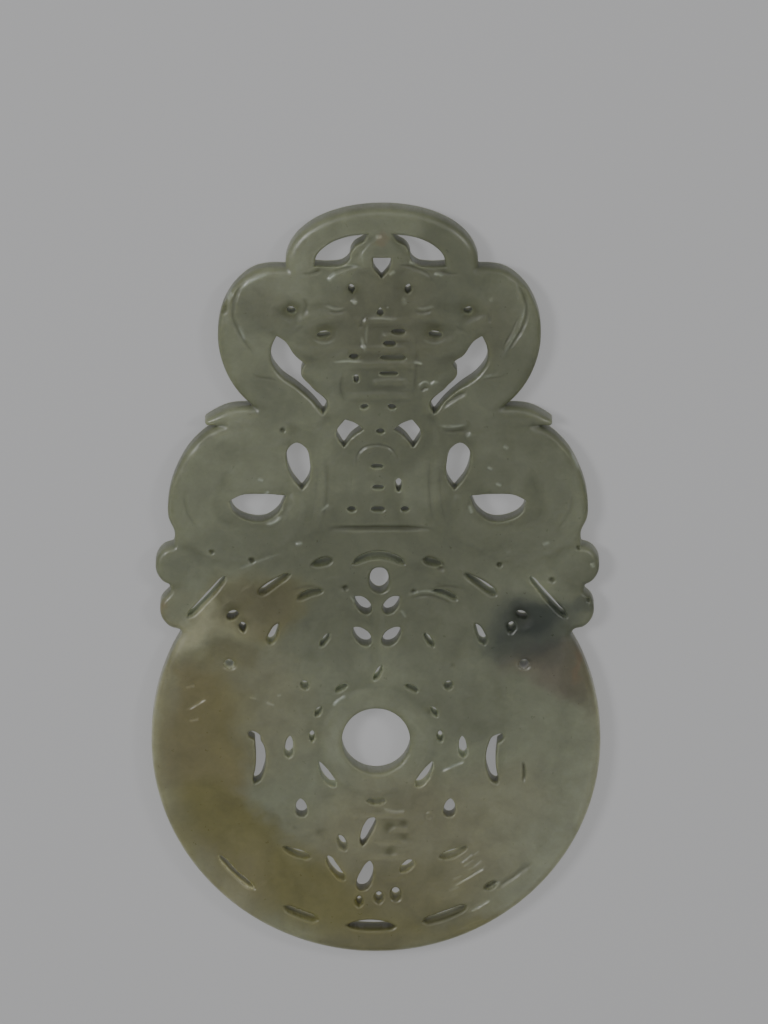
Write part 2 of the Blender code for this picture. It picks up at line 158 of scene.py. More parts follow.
def rounded(loop, corner):
    """The loop on a smooth curve through its points, with corners sharper than this angle kept."""
    points = loop[np.linalg.norm(loop - np.roll(loop, 1, 0), axis=1) > SHORTEST]
    points = points[turning(points) > STRAIGHT]
    following = np.roll(points, -1, 0)
    steps = following - points
    lengths = np.linalg.norm(steps, axis=1)
    ahead = steps / lengths[:, None]
    behind = np.roll(ahead, 1, 0)
    tangents = behind * lengths[:, None] + ahead * np.roll(lengths, 1)[:, None]
    tangents /= np.linalg.norm(tangents, axis=1)[:, None]
    sharp = turning(points) > corner
    curve = []
    for i, (p, q, length, direction) in enumerate(zip(points, following, lengths, ahead)):
        j = (i + 1) % len(points)
        leave = direction if sharp[i] else tangents[i]
        arrive = direction if sharp[j] else tangents[j]
        count = max(1, math.ceil(length / OUTLINE_STEP))
        for k in range(count):
            t = k / count
            curve.append((2 * t**3 - 3 * t**2 + 1) * p + (t**3 - 2 * t**2 + t) * length * leave
                         + (3 * t**2 - 2 * t**3) * q + (t**3 - t**2) * length * arrive)
    return np.array(curve)


def area(loop):
    x, y = loop.T
    return abs(x @ np.roll(y, -1) - y @ np.roll(x, -1)) / 2


def kind(loop):
    """Which kind of opening a loop is, by its place, its area and its mean width."""
    size = area(loop)
    middle = loop.mean(0) - (0, CENTRE_Y)
    dark = np.linalg.norm(middle - DARK_OPENINGS, axis=1).min() < DARK_REACH
    if dark or size < DRILLED_HOLE and middle[1] > DISC_R:
        return DARK
    if size > LARGE_OPENING:
        return LARGE
    if size < DRILLED_HOLE:
        return DRILLED
    width = 2 * size / np.linalg.norm(loop - np.roll(loop, 1, 0), axis=1).sum()
    return SMALLER if width > SLOT_WIDTH else SLOT


def outlines(bm):
    """Smooth closed curves at mid thickness: the outer one, then the openings of each kind."""
    found = bmesh.ops.bisect_plane(bm, geom=[*bm.verts, *bm.edges, *bm.faces],
                                   plane_co=(0, 0, MIDDLE_Z), plane_no=(0, 0, 1))
    loops = walked(item for item in found["geom_cut"] if isinstance(item, bmesh.types.BMEdge))
    loops.sort(key=lambda loop: loop[:, 0].min())
    openings = [rounded(loop, INNER_CORNER) for loop in loops[1:]]
    kinds = [[loop for loop in openings if kind(loop) == number] for number in KINDS]
    return [rounded(loops[0], OUTER_CORNER)], kinds


def curtain(loops):
    """A tree of upright strips standing on these loops, for distances across the slab."""
    points, faces = [], []
    for loop in loops:
        for (ax, ay), (bx, by) in zip(loop, np.roll(loop, -1, 0)):
            start = len(points)
            points += [(ax, ay, -1), (bx, by, -1), (bx, by, 1), (ax, ay, 1)]
            faces.append((start, start + 1, start + 2, start + 3))
    return BVHTree.FromPolygons(points, faces)


class Slab:
    """Both faces of the solid as height fields on one grid, with the distances to its edges."""

    def __init__(self):
        bm = solid_bmesh()
        self.xs = np.arange(LOW[0] - MARGIN * PITCH, HIGH[0] + MARGIN * PITCH, PITCH)
        self.ys = np.arange(LOW[1] - MARGIN * PITCH, HIGH[1] + MARGIN * PITCH, PITCH)
        self.shape = (len(self.ys), len(self.xs))
        self.x, grid_y = np.meshgrid(self.xs, self.ys)
        self.v = grid_y - CENTRE_Y
        self.u = self.x - LEAN * self.v
        self.r = np.hypot(self.x, self.v)
        self.sample(BVHTree.FromBMesh(bm))
        outer, inner = outlines(bm)
        bm.free()
        self.gaps = [blurred(self.gap(outer, True), OUTER_BLUR)]
        self.gaps += [blurred(self.gap(loops, False), INNER_BLUR) for loops in inner]
        self.edge = np.minimum.reduce(self.gaps)
        self.inside = self.edge > 0

    def sample(self, tree):
        self.front, self.back = np.zeros(self.shape), np.zeros(self.shape)
        self.solid = np.zeros(self.shape, bool)
        down, up = Vector((0, 0, -1)), Vector((0, 0, 1))
        for j, y in enumerate(self.ys):
            for i, x in enumerate(self.xs):
                hit = tree.ray_cast(Vector((x, y, RAY_Z)), down)[0]
                if hit is not None:
                    self.solid[j, i] = True
                    self.front[j, i] = hit.z
                    self.back[j, i] = tree.ray_cast(Vector((x, y, -RAY_Z)), up)[0].z

    def within(self, loops):
        """Which grid points lie inside these loops, by counting crossings along each row."""
        crossings = np.zeros(self.shape, int)
        for loop in loops:
            for (ax, ay), (bx, by) in zip(loop, np.roll(loop, -1, 0)):
                first, last = np.searchsorted(self.ys, sorted((ay, by)))
                for j in range(first, last):
                    x = ax + (bx - ax) * (self.ys[j] - ay) / (by - ay)
                    crossings[j, np.searchsorted(self.xs, x):] += 1
        return crossings % 2 == 1

    def gap(self, loops, stone_within):
        """Signed distance to these loops, positive in the stone."""
        tree = curtain(loops)
        places = (Vector((x, y, 0)) for y in self.ys for x in self.xs)
        found = np.array([tree.find_nearest(place)[3] for place in places]).reshape(self.shape)
        return np.where(self.within(loops) == stone_within, found, -found)


def shifted(field, step, axis):
    """The field moved along an axis, with its edge value repeated."""
    count = field.shape[axis]
    return np.take(field, np.clip(np.arange(count) - step, 0, count - 1), axis)


def blurred(field, sigma):
    """The field smoothed with a bell curve of this width."""
    reach = int(math.ceil(3 * sigma / PITCH))
    steps = range(-reach, reach + 1)
    weights = [math.exp(-0.5 * (k * PITCH / sigma) ** 2) for k in steps]
    for axis in (0, 1):
        field = sum(weight * shifted(field, k, axis) for k, weight in zip(steps, weights))
    return field / sum(weights) ** 2


def worn(field, solid, sigma):
    """The field smoothed over the stone alone, so that openings don't pull it down."""
    share = blurred(solid.astype(float), sigma)
    return blurred(np.where(solid, field, 0), sigma) / np.maximum(share, LEAST)


def rounding(gap, wear):
    """How far a worn edge drops at this distance from it."""
    width, height = wear
    near = np.clip(1 - gap / width, 0, 1)
    return height * (1 - np.sqrt(1 - near**2))


def ramp(values, start, end):
    """Rises smoothly from 0 at start to 1 at end."""
    t = np.clip((values - start) / (end - start), 0, 1)
    return t * t * (3 - 2 * t)


# ---------------------------------------------------------------- the carving

def smooth_path(points):
    """A Catmull-Rom curve through the points."""
    points = np.array(points, float)
    ends = np.concatenate([points[:1], points, points[-1:]])
    found = []
    for a, b, c, d in zip(ends, ends[1:], ends[2:], ends[3:]):
        for i in range(CURVE_STEPS):
            t = i / CURVE_STEPS
            found.append(0.5 * (2 * b + (c - a) * t + (2 * a - 5 * b + 4 * c - d) * t**2
                                + (3 * b - a - 3 * c + d) * t**3))
    return np.array([*found, points[-1]])


def along(slab, path, reach):
    """A window of the grid round a path, the distance to it there and the share of its length."""
    low, high = path.min(0) - reach - 1, path.max(0) + reach + 1
    rows = slice(*np.searchsorted(slab.v[:, 0], (low[1], high[1])))
    columns = slice(*np.searchsorted(slab.xs, (low[0], high[0] + LEAN * high[1])))
    window = (rows, columns)
    u, v = slab.u[window], slab.v[window]
    best, share = np.full(u.shape, FAR), np.zeros(u.shape)
    lengths = np.linalg.norm(np.diff(path, axis=0), axis=1)
    total, done = lengths.sum(), 0.0
    for a, b, length in zip(path, path[1:], lengths):
        direction = (b - a) / length
        t = np.clip((u - a[0]) * direction[0] + (v - a[1]) * direction[1], 0, length)
        gap = np.hypot(u - a[0] - t * direction[0], v - a[1] - t * direction[1])
        nearer = gap < best
        best[nearer] = gap[nearer]
        share[nearer] = ((done + t) / total)[nearer]
        done += length
    return window, best, share


# How strokes fade at their ends, as shares of their length: the start, then the end of each kind
FADE_START = -0.02
GROOVE_FADE = 0.3
SCRATCH_FADE = 0.15
BAR_FADE = 0.12


def fading(share, fade):
    """1 along a stroke, falling to 0 at its ends."""
    return ramp(np.minimum(share, 1 - share), FADE_START, fade)


def groove(slab, points, width, depth, fade=GROOVE_FADE, bright=False):
    """A shallow cut along a path, or a raised line where depth is negative; raised lines, and cuts
    that are called bright, get a painted highlight.
    """
    window, gap, share = along(slab, smooth_path(points), 2 * width)
    stroke = np.exp(-(gap / (0.5 * width)) ** 2) * fading(share, fade)
    slab.front[window] -= depth * stroke
    if depth < 0 or bright:
        rubbed = stroke * min(1, abs(depth) / PAINTED_GLINT_HEIGHT)
        slab.rubbed[window] = np.maximum(slab.rubbed[window], rubbed)


def pit(slab, u, v, radius, depth):
    """A drilled or worn hollow."""
    slab.front -= depth * np.exp(-(np.hypot(slab.u - u, slab.v - v) / radius) ** 2)


def mirrored(points, side):
    return [(u * side, v) for u, v in points]


# Lines that both heads and both lobes share, on the right-hand side: points, width, and depth,
# which is negative for a ridge
PAIRED_LINES = (
    ([(22.1, 81.6), (23.5, 79.6), (24.3, 77.2), (24.4, 74.9), (23.6, 72.6), (22.3, 70.4),
      (20.6, 67.8)], 0.7, 0.24),
    ([(8.9, 81.2), (7.9, 82.4), (6.5, 83.1), (4.7, 83.7), (2.6, 83.9)], 0.6, 0.22),
    ([(9.3, 76.7), (8.4, 76.5), (7.2, 76.2), (5.8, 76.4)], 0.5, -0.11),
    ([(8.6, 75.8), (7.2, 75.5), (5.9, 75.8)], 0.5, 0.16),
    ([(11.3, 70.9), (10.3, 70.3), (9.1, 70.1), (7.9, 70.4), (6.9, 71.2)], 0.4, -0.06),
    ([(4.4, 78.2), (4.0, 77.5), (4.6, 77.0)], 0.7, -0.10),
    ([(9.6, 83.0), (11.6, 82.4), (13.4, 82.6)], 0.6, 0.2),
    ([(16.6, 63.7), (18.6, 64.1), (20.2, 64.4), (21.4, 65.3)], 0.5, 0.14),
    ([(12.2, 74.0), (13.4, 72.6), (15.4, 71.8)], 0.6, 0.12),
    ([(8.8, 50.5), (8.5, 46.5), (8.7, 42.0), (9.7, 37.6)], 0.8, 0.12),
    ([(10.3, 50.1), (10.3, 45.0), (10.7, 41.0), (11.6, 37.4)], 0.7, 0.1),
    ([(32.4, 44.0), (31.8, 40.4), (29.6, 36.9)], 0.7, 0.12),
    ([(14.6, 26.9), (11.2, 27.4), (8.2, 26.6)], 0.6, 0.12),
)
# Single lines, written the same way
HEAD_LINES = (
    ([(24.3, 77.5), (23.9, 75.4), (22.7, 72.2), (21.1, 69.2), (19.4, 66.5)], 0.4, -0.19),
    ([(23.2, 75.4), (22.0, 72.2), (20.4, 69.2)], 0.4, 0.16),
    ([(15.2, 64.1), (17.7, 64.4), (20.2, 65.1), (21.1, 65.8)], 0.35, -0.16),
    ([(-23.4, 73.6), (-22.8, 72.0), (-22.3, 70.4)], 0.5, -0.11),
    ([(-20.5, 74.3), (-19.7, 75.2)], 0.5, -0.16),
    ([(18.1, 77.7), (19.1, 78.2)], 0.5, -0.16),
    ([(22.3, 78.8), (23.0, 77.9)], 0.5, -0.16),
    ([(-8.7, 80.9), (-8.1, 81.8), (-7.2, 82.5)], 0.7, -0.18),
    ([(-6.3, 83.6), (-5.0, 83.8), (-3.5, 83.7)], 0.4, -0.11),
    ([(1.4, 82.0), (2.0, 82.5), (2.7, 82.7)], 0.6, -0.16),
    ([(4.6, 84.2), (5.7, 84.3), (6.6, 84.0)], 0.5, -0.15),
    ([(9.0, 82.1), (9.7, 82.3), (10.5, 81.9)], 0.5, -0.15),
    ([(-2.4, 74.8), (-3.0, 73.8), (-3.2, 72.5)], 0.6, 0.2),
    ([(-3.0, 71.4), (-2.7, 69.9), (-2.3, 68.6)], 0.5, -0.16),
    ([(-8.0, 66.8), (-5.2, 67.0), (-2.3, 66.9)], 0.4, -0.18),
    ([(5.6, 66.8), (6.4, 66.7), (7.3, 66.4)], 0.45, -0.22),
    ([(-1.8, 74.4), (0.4, 74.6), (2.8, 74.3)], 0.4, -0.16),
    ([(6.0, 72.0), (6.2, 68.0), (6.0, 64.0), (5.4, 60.4)], 0.6, 0.1),
    ([(-6.0, 65.4), (-6.4, 62.4), (-5.6, 59.6)], 0.6, 0.12),
    ([(-13.0, 78.6), (-12.2, 76.6), (-12.8, 74.6)], 0.7, 0.12),
    ([(-4.8, 77.9), (-4.2, 77.2), (-3.6, 77.4)], 0.5, -0.22),
    ([(18.1, 75.8), (18.3, 73.6)], 0.5, 0.12),
    ([(6.4, 62.2), (7.1, 63.1), (7.9, 63.4), (8.6, 62.8)], 0.35, -0.14),
    ([(8.5, 62.6), (9.2, 63.3), (10.1, 63.4)], 0.45, -0.15),
    ([(7.0, 61.6), (7.6, 62.3), (8.2, 62.1)], 0.45, 0.2),
    ([(10.2, 58.4), (11.6, 59.9), (13.3, 61.1), (15.0, 61.9)], 0.9, 0.3),
    ([(-9.8, 58.1), (-8.7, 59.1)], 0.6, -0.15),
    ([(10.0, 55.8), (12.3, 55.6), (14.7, 55.9)], 0.5, -0.16),
    ([(10.4, 54.8), (12.6, 54.7), (14.9, 55.0)], 0.5, 0.16),
    ([(14.5, 53.6), (15.6, 54.5)], 0.5, -0.16),
    ([(-23.4, 79.3), (-21.4, 81.1), (-18.1, 82.7)], 0.5, -0.16),
    ([(-25.4, 77.6), (-24.4, 79.2)], 0.5, -0.16),
    ([(-1.9, 73.8), (-2.2, 71.8), (-2.1, 69.6)], 0.4, -0.1),
    ([(-1.4, 87.9), (-2.9, 85.8), (-2.7, 83.6)], 0.35, -0.06),
    ([(-0.9, 88.8), (0.4, 88.9)], 0.7, -0.16),
    ([(24.3, 81.4), (25.6, 79.6), (26.2, 77.4)], 0.5, -0.16),
)
BODY_LINES = (
    ([(-8.0, 36.4), (-7.7, 37.6), (-3.0, 37.7), (3.0, 37.7), (8.1, 37.6), (10.4, 37.0)],
     0.75, 0.4),
    ([(-3.8, 47.7), (-3.5, 50.4), (-2.4, 51.8), (-0.6, 52.3), (1.6, 52.0), (3.0, 50.4),
      (3.3, 48.1)], 0.5, 0.2),
    ([(-23.7, 30.1), (-19.7, 31.9), (-15.5, 33.6)], 0.4, -0.07),
    ([(4.7, 25.9), (8.0, 26.6), (10.5, 26.1), (13.0, 24.8)], 0.4, -0.11),
    ([(4.7, 25.1), (8.0, 25.8), (10.5, 25.3), (13.0, 24.0)], 0.6, 0.16),
    ([(-20.2, 46.3), (-19.0, 46.1)], 0.5, -0.14),
    ([(-18.9, 43.4), (-18.2, 44.3)], 0.5, -0.14),
    ([(-13.8, 34.8), (-12.4, 35.1)], 0.5, -0.15),
    ([(20.7, 52.1), (21.7, 51.7)], 0.5, -0.14),
    ([(18.1, 48.5), (19.1, 48.0)], 0.5, -0.15),
    ([(19.5, 45.6), (20.6, 45.1)], 0.5, -0.15),
    ([(21.3, 33.5), (22.3, 34.1)], 0.5, -0.16),
    ([(27.4, 34.7), (28.7, 35.3)], 0.5, -0.16),
    ([(32.1, 50.8), (32.9, 49.2), (33.5, 47.6)], 0.5, -0.2),
    ([(-18.8, 38.2), (-17.2, 38.7), (-15.8, 39.9)], 0.5, -0.2),
    ([(15.7, 40.1), (15.2, 41.8)], 0.6, -0.16),
    ([(-9.6, 40.6), (-8.0, 41.8)], 0.4, -0.12),
    ([(-4.6, 25.8), (-3.6, 24.4)], 0.4, -0.1),
    ([(35.6, 31.6), (36.2, 30.7)], 0.7, -0.25),
    ([(4.9, 21.8), (3.9, 23.4)], 0.5, -0.11),
)
# Marks of use, cut after the grime and painted shade are laid, so they take painted highlights
# instead
SCRATCHES = (
    ([(-31.6, 5.6), (-30.0, 6.6), (-28.4, 7.7)], 0.4, 0.16),
    ([(-31.2, 3.7), (-29.6, 4.1)], 0.4, 0.14),
    ([(-31.8, 9.6), (-30.2, 10.0)], 0.4, 0.12),
    ([(-21.2, 7.8), (-20.0, 7.5)], 0.4, -0.08),
    ([(-18.4, 6.9), (-17.0, 6.4)], 0.4, -0.08),
    ([(-16.6, 8.0), (-15.8, 8.2)], 0.4, -0.08),
    ([(12.9, -25.8), (15.9, -23.9), (18.6, -22.0)], 0.3, 0.14),
    ([(13.9, -25.1), (16.3, -23.6), (18.4, -22.4)], 0.3, 0.12),
    ([(15.4, -22.9), (16.6, -22.1), (17.9, -20.9)], 0.3, 0.12),
    ([(14.2, -21.6), (15.4, -20.6), (16.4, -19.9)], 0.35, 0.15),
    ([(14.7, -22.3), (15.6, -21.6), (16.6, -20.9)], 0.3, 0.12),
    ([(12.3, -26.5), (14.2, -25.7)], 0.3, 0.1),
    ([(13.0, -24.4), (14.6, -23.7)], 0.3, 0.1),
    ([(16.4, -20.2), (17.4, -19.4)], 0.3, 0.1),
    ([(18.8, -26.0), (19.7, -25.7), (21.0, -24.8)], 0.4, 0.16),
    ([(16.6, -29.6), (17.9, -29.0), (19.3, -28.0)], 0.4, 0.16),
    ([(16.0, -30.1), (17.6, -29.2)], 0.35, 0.12),
    ([(1.3, -12.0), (3.2, -12.4), (5.0, -12.3)], 0.4, 0.16),
    ([(10.8, -5.3), (12.8, -4.4), (14.9, -3.4)], 0.4, 0.17),
    ([(-7.3, 6.2), (-6.3, 7.2), (-5.0, 8.1)], 0.5, -0.14),
    ([(-26.0, 23.9), (-23.4, 26.2), (-20.7, 28.0)], 0.4, -0.09),
)
# Cracks and lines, darkened by the grime and painted shade that the recesses take
DARK_LINES = (
    ([(24.6, -3.4), (24.8, -5.3), (24.7, -7.4)], 0.45, 0.4),
    ([(9.4, -3.8), (8.6, -5.4), (7.6, -6.6), (6.2, -7.7)], 0.6, 0.3),
    ([(19.6, -26.4), (23.0, -24.1), (26.5, -21.2)], 0.9, 0.22),
)
# Drilled and worn hollows: middle, radius, depth
HOLLOWS = (
    (-16.0, 54.9, 0.35, 0.6), (-27.7, 33.5, 0.35, 0.6), (-21.0, 32.0, 0.4, 0.6),
    (20.3, 31.2, 0.35, 0.6), (29.1, 28.5, 0.4, 0.6), (10.6, 30.6, 0.5, 0.4),
    (6.0, 26.5, 0.4, 0.5), (-5.4, 27.1, 0.4, 0.5), (-34.4, 35.0, 0.35, 0.5),
    (-35.9, 26.2, 0.35, 0.5), (35.3, 25.0, 0.35, 0.5), (33.5, 34.2, 0.35, 0.5),
    (2.4, -15.4, 0.8, 0.16), (4.7, -14.6, 0.7, 0.16), (4.8, -17.1, 0.8, 0.16),
    (2.5, -19.6, 0.9, 0.16), (9.0, 5.1, 0.7, 0.25), (-24.3, 22.7, 1.5, 0.35),
    (-22.6, 20.5, 1.3, 0.3), (23.9, 21.8, 1.7, 0.5), (-26.5, 76.3, 0.8, 1.0),
    (-13.6, -15.4, 0.6, 0.14), (-9.4, -16.2, 0.6, 0.14), (12.6, 13.4, 0.4, 0.2),
)
# Worn hollows that both heads share, on the right-hand side: middle, radius, depth
PAIRED_HOLLOWS = (
    (4.6, 79.4, 1.4, 0.3), (14.9, 75.9, 1.5, 0.25), (9.0, 71.9, 1.7, 0.3),
    (13.4, 77.4, 1.4, 0.12), (6.8, 79.4, 1.3, 0.1), (11.3, 67.6, 1.8, 0.14),
    (6.4, 73.4, 1.5, 0.12), (9.0, 57.0, 1.2, 0.16),
)
# Soft dark patches of painted shade in and round hollows, holes and cuts: middle, radius, strength
PAIRED_SHADE_PATCHES = (
    (4.6, 79.4, 1.4, 0.7), (14.9, 76.0, 1.5, 0.7), (9.0, 72.0, 1.8, 0.8),
    (12.3, -20.4, 2.4, 0.35), (11.6, -31.0, 2.4, 0.15), (17.6, 27.0, 2.0, 0.3),
    (9.0, 31.5, 2.0, 0.25), (11.0, 26.2, 2.4, 0.25),
)
# Single patches of painted shade, written the same way
SHADE_PATCHES = (
    (3.2, -14.6, 2.0, 0.3), (2.4, -15.4, 0.8, 0.5), (4.8, -14.6, 0.7, 0.5),
    (4.8, -17.1, 0.8, 0.5), (2.5, -19.6, 1.0, 0.6), (0.6, 75.3, 1.2, 0.4),
    (2.4, 71.2, 1.6, 0.3), (-3.9, 67.6, 1.6, 0.3), (18.4, -24.8, 2.6, 0.25),
    (9.6, -31.4, 2.2, 0.5), (13.4, -30.2, 2.2, 0.5), (-24.3, 22.7, 2.2, 0.4),
    (24.0, 21.6, 2.2, 0.5),
)


# A soft patch of painted shade
def lay_shade_patch(slab, u, v, radius, strength):
    slab.stain += strength * np.exp(-((slab.u - u) ** 2 + (slab.v - v) ** 2) / radius**2)


# Rows of plain strokes where the inscriptions stand: height up the pendant, middle, half length
UPPER_ROWS = (
    (73.9, 0.4, 3.6), (71.2, 2.9, 2.4), (69.0, -0.2, 5.0), (66.2, 0.4, 6.4), (63.2, 1.9, 3.0),
    (60.8, 0.2, 5.6),
)
LOWER_ROWS = (
    (-13.4, 0.6, 4.6), (-15.9, 3.9, 1.7), (-18.2, 2.6, 2.8), (-20.7, 1.4, 4.0), (-24.7, 3.0, 1.9),
)
# Half width and height of their strokes
UPPER_STROKE = (0.6, 0.09)
LOWER_STROKE = (0.5, 0.07)
BOW = 0.1
# A natural ring in the stone, a little proud of the polish
RING = (9.1, -13.3)
RING_RADIUS = 0.6
RING_WIDTH = 0.2
RING_HEIGHT = 0.12


def bar(slab, left, right, v, half, height):
    """A flat-topped stroke that runs across the pendant, its ends worn away."""
    path = smooth_path([(left, v - BOW), ((left + right) / 2, v + BOW), (right, v)])
    window, gap, share = along(slab, path, 2 * half)
    flat = 1 - ramp(gap, 0.5 * half, 1.5 * half)
    slab.front[window] += height * flat * fading(share, BAR_FADE)


def carve(slab):
    for rows, stroke in ((UPPER_ROWS, UPPER_STROKE), (LOWER_ROWS, LOWER_STROKE)):
        for v, middle, half in rows:
            bar(slab, middle - half, middle + half, v, *stroke)
    for points, width, depth in PAIRED_LINES:
        for side in (-1, 1):
            groove(slab, mirrored(points, side), width, depth)
    for points, width, depth in (*HEAD_LINES, *BODY_LINES, *DARK_LINES):
        groove(slab, points, width, depth)
    for u, v, radius, depth in HOLLOWS:
        pit(slab, u, v, radius, depth)
    for u, v, radius, depth in PAIRED_HOLLOWS:
        pit(slab, u, v, radius, depth)
        pit(slab, -u, v, radius, depth)


def scratch(slab):
    """The marks of use, with painted highlights along them, and the ring in the stone."""
    for points, width, depth in SCRATCHES:
        groove(slab, points, width, depth, SCRATCH_FADE, True)
    gap = np.abs(np.hypot(slab.u - RING[0], slab.v - RING[1]) - RING_RADIUS)
    slab.front += RING_HEIGHT * np.exp(-(gap / RING_WIDTH) ** 2)


# ---------------------------------------------------------------- both faces

# The share of the solid's relief left by the centre hole, and its losses outwards: share, from, to
HUB_RELIEF = 0.55
FIELD_LOSS = (0.15, 11, 16)
RIM_LOSS = (0.26, 22, 31)
# The share at the crest's foot, and its gain above: share, then from and to, past the disc's edge
FOOT_RELIEF = 0.25
CREST_GAIN = (0.2, 1, 8)
FOOT_BLEND = 1
# Waves of the polish: length, height, seed; then how many of each, and how their lengths spread
POLISH = ((9, 0.05, 3), (3, 0.02, 4), (1.4, 0.012, 5))
WAVES = 9
WAVE_SPREAD = (0.6, 1.8)


def relief_share(slab):
    """How much of the solid's relief is left: the disc is worn nearly flush with its rim."""
    field, rim = (loss * ramp(slab.r, start, end) for loss, start, end in (FIELD_LOSS, RIM_LOSS))
    gain, start, end = CREST_GAIN
    disc = HUB_RELIEF - field - rim
    above = FOOT_RELIEF + gain * ramp(slab.r, DISC_R + start, DISC_R + end)
    return disc + (above - disc) * ramp(slab.r, DISC_R - FOOT_BLEND, DISC_R + FOOT_BLEND)


def unevenness(slab, scale, height, seed):
    """The slow waves that a hand polish leaves."""
    random = np.random.default_rng(seed)
    waves = np.zeros(slab.shape)
    for _ in range(WAVES):
        heading, phase = random.uniform(0, math.tau, 2)
        length = scale * random.uniform(*WAVE_SPREAD)
        travel = slab.x * math.cos(heading) + slab.v * math.sin(heading)
        waves += np.sin(math.tau * travel / length + phase)
    return height * waves / math.sqrt(WAVES)


def gather_grime_and_shade(slab):
    """Notes how deep each point lies in the carving, for its grime and painted shade, and where
    patches of painted shade are laid.
    """
    cuts = zip(slab.gaps[FINE:], FRONT_WEAR[FINE:])
    cut = np.minimum.reduce([slab.front, *(THICK - rounding(gap, wear) for gap, wear in cuts)])
    slab.stain = np.zeros(slab.shape)
    for side in (-1, 1):
        for u, v, radius, strength in PAIRED_SHADE_PATCHES:
            lay_shade_patch(slab, side * u, v, radius, strength)
    for stain in SHADE_PATCHES:
        lay_shade_patch(slab, *stain)
    recess = (worn(cut, slab.solid, RECESS_REACH) - cut) / RECESS_FULL
    slab.recess = np.clip(recess + slab.stain, 0, 1)


def round_edges(slab):
    """Wears both faces down to their edges, and notes the level at which each edge ends."""
    drop = np.maximum.reduce([rounding(gap, wear) for gap, wear in zip(slab.gaps, FRONT_WEAR)])
    rise = np.maximum.reduce([rounding(gap, wear) for gap, wear in zip(slab.gaps, BACK_WEAR)])
    nearest = np.argmin(slab.gaps, 0)
    slab.rim_front = np.minimum(slab.front, THICK - np.array(FRONT_WEAR)[nearest, 1])
    slab.front = np.minimum(slab.front, THICK - drop)
    slab.back = np.maximum(worn(slab.back, slab.solid, BACK_BLUR), rise)
    slab.rim_back = np.maximum(slab.back, np.array(BACK_WEAR)[nearest, 1])


def shape_faces(slab):
    """Wears both faces, carves the front and rounds the edges."""
    worn_front = worn(slab.front, slab.solid, RELIEF_BLUR)
    slab.front = THICK - relief_share(slab) * (THICK - worn_front)
    for scale, height, seed in POLISH:
        slab.front = slab.front + unevenness(slab, scale, height, seed)
    slab.rubbed = np.zeros(slab.shape)
    carve(slab)
    gather_grime_and_shade(slab)
    scratch(slab)
    round_edges(slab)


# ---------------------------------------------------------------- the mesh

class Rim:
    """The points where the outline crosses the grid's lines."""

    def __init__(self, slab, first):
        self.slab, self.first, self.found = slab, first, {}
        self.plan, self.front, self.back = [], [], []

    def between(self, inside_at, outside_at):
        """The vertex between a grid point in the stone and its neighbour outside."""
        key = (inside_at, outside_at)
        if key not in self.found:
            slab = self.slab
            share = slab.edge[inside_at] / (slab.edge[inside_at] - slab.edge[outside_at])
            (ja, ia), (jb, ib) = inside_at, outside_at
            self.found[key] = self.first + len(self.plan)
            self.plan.append((slab.xs[ia] + share * (slab.xs[ib] - slab.xs[ia]),
                              slab.ys[ja] + share * (slab.ys[jb] - slab.ys[ja])))
            self.front.append(slab.rim_front[inside_at])
            self.back.append(slab.rim_back[inside_at])
        return self.found[key]


def edge_cells(slab, index, rim, cells):
    """The faces of the cells that the outline crosses, and the stretches of wall under them."""
    faces, walls = [], []
    for j, i in cells:
        ring = [(j, i), (j, i + 1), (j + 1, i + 1), (j + 1, i)]
        solid = [bool(slab.inside[at]) for at in ring]
        for start in (k for k in range(4) if solid[k] and not solid[k - 1]):
            run = [start]
            while solid[(run[-1] + 1) % 4]:
                run.append((run[-1] + 1) % 4)
            enter = rim.between(ring[start], ring[start - 1])
            leave = rim.between(ring[run[-1]], ring[(run[-1] + 1) % 4])
            faces.append([enter, *(int(index[ring[k]]) for k in run), leave])
            walls.append((enter, leave))
    return faces, walls


def stone_mesh(slab):
    """The closed mesh: the front and back sheets share a grid, and a wall joins their edges."""
    inside = slab.inside
    index = np.full(slab.shape, -1)
    index[inside] = np.arange(inside.sum())
    corners = np.stack([index[:-1, :-1], index[:-1, 1:], index[1:, 1:], index[1:, :-1]], -1)
    filled = (corners >= 0).sum(-1)
    rim = Rim(slab, int(inside.sum()))
    cells = list(zip(*(axis.tolist() for axis in np.nonzero((filled > 0) & (filled < 4)))))
    faces, walls = edge_cells(slab, index, rim, cells)
    faces += corners[filled == 4].tolist()
    xy = np.concatenate([np.column_stack([slab.x[inside], slab.v[inside] + CENTRE_Y]), rim.plan])
    top = np.concatenate([slab.front[inside], rim.front])
    bottom = np.concatenate([slab.back[inside], rim.back])
    count = len(xy)
    faces += [[v + count for v in reversed(face)] for face in faces]
    faces += [(a, b, b + count, a + count) for a, b in walls]
    points = np.concatenate([np.column_stack([xy, top]), np.column_stack([xy, bottom])]) * MM
    mesh = bpy.data.meshes.new(NODE + "_stone")
    mesh.from_pydata(points.tolist(), [], faces)
    mesh.update()
    return mesh


def thinned(obj, triangles):
    """Collapses the mesh where it is flat, down to this many triangles."""
    have = sum(len(p.vertices) - 2 for p in obj.data.polygons)
    modifier = obj.modifiers.new("thin", "DECIMATE")
    modifier.ratio = min(1, triangles / have)
    bpy.context.view_layer.update()
    collapsed = obj.evaluated_get(bpy.context.evaluated_depsgraph_get())
    mesh = bpy.data.meshes.new_from_object(collapsed)
    obj.modifiers.clear()
    old, obj.data = obj.data, mesh
    bpy.data.meshes.remove(old)


# ---------------------------------------------------------------- the stone's material

